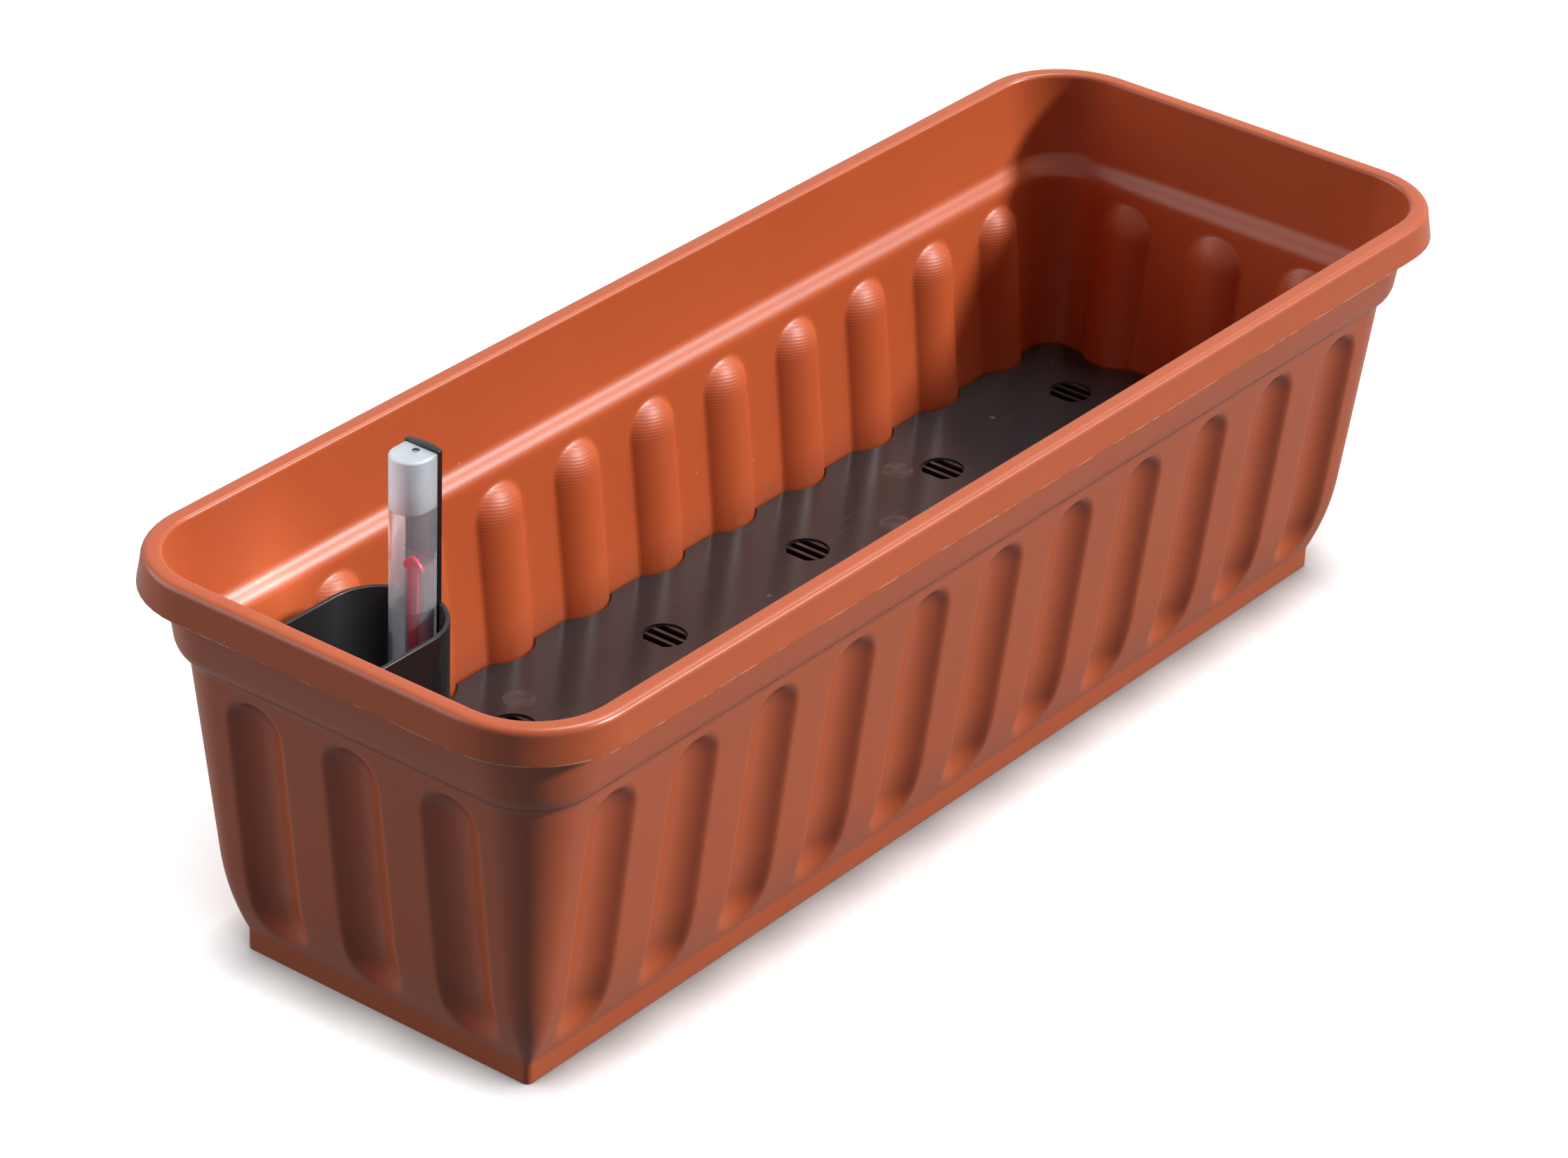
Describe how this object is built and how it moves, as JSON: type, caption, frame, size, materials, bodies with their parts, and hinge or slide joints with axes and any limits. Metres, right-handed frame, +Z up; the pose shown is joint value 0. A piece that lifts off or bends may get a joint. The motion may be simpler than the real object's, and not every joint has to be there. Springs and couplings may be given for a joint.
{
  "type": "self watering planter",
  "caption": "Fluted balcony trough with a slotted false floor over a water reservoir, a filler shaft and a float gauge that lift out.",
  "frame": {"origin": "on the ground, under the centre of the trough", "axes": "+Z up, +X along the trough away from the filler shaft, +Y towards the side with the gauge"},
  "size_m": [0.6, 0.2206, 0.1969],
  "materials": {
    "terracotta_plastic": "satin moulded polypropylene",
    "black_plastic": "satin moulded polypropylene",
    "shaft_plastic": "satin moulded polypropylene",
    "clear_plastic": "clear window between frosted bands",
    "red_plastic": "gloss",
    "float_foam": "closed-cell foam",
    "plug_rubber": "matte"
  },
  "bodies": {
    "trough": {"planter_box": "terracotta_plastic"},
    "insert": {"reservoir_plate": "black_plastic", "soil_cup_1": "black_plastic", "soil_cup_2": "black_plastic", "soil_cup_3": "black_plastic", "filler_shaft": "shaft_plastic"},
    "gauge": {"gauge_rail": "shaft_plastic", "gauge_tube": "clear_plastic", "gauge_foot": "shaft_plastic"},
    "float": {"float_pointer": "red_plastic", "float_body": "float_foam"},
    "drain_plug_a": {"drain_plug_1": "plug_rubber"},
    "drain_plug_b": {"drain_plug_2": "plug_rubber"}
  },
  "joints": [
    {"name": "insert_lift", "type": "slide", "parent": "trough", "child": "insert", "axis": [0, 0, 1], "range_m": [0, 0.19]},
    {"name": "gauge_lift", "type": "slide", "parent": "insert", "child": "gauge", "axis": [0, 0, 1], "range_m": [0, 0.13]},
    {"name": "float_rise", "type": "slide", "parent": "gauge", "child": "float", "axis": [0, 0, 1], "range_m": [0, 0.036]},
    {"name": "drain_plug_a_pull", "type": "slide", "parent": "trough", "child": "drain_plug_a", "axis": [0, 0, -1], "range_m": [0, 0.012]},
    {"name": "drain_plug_b_pull", "type": "slide", "parent": "trough", "child": "drain_plug_b", "axis": [0, 0, -1], "range_m": [0, 0.012]}
  ]
}
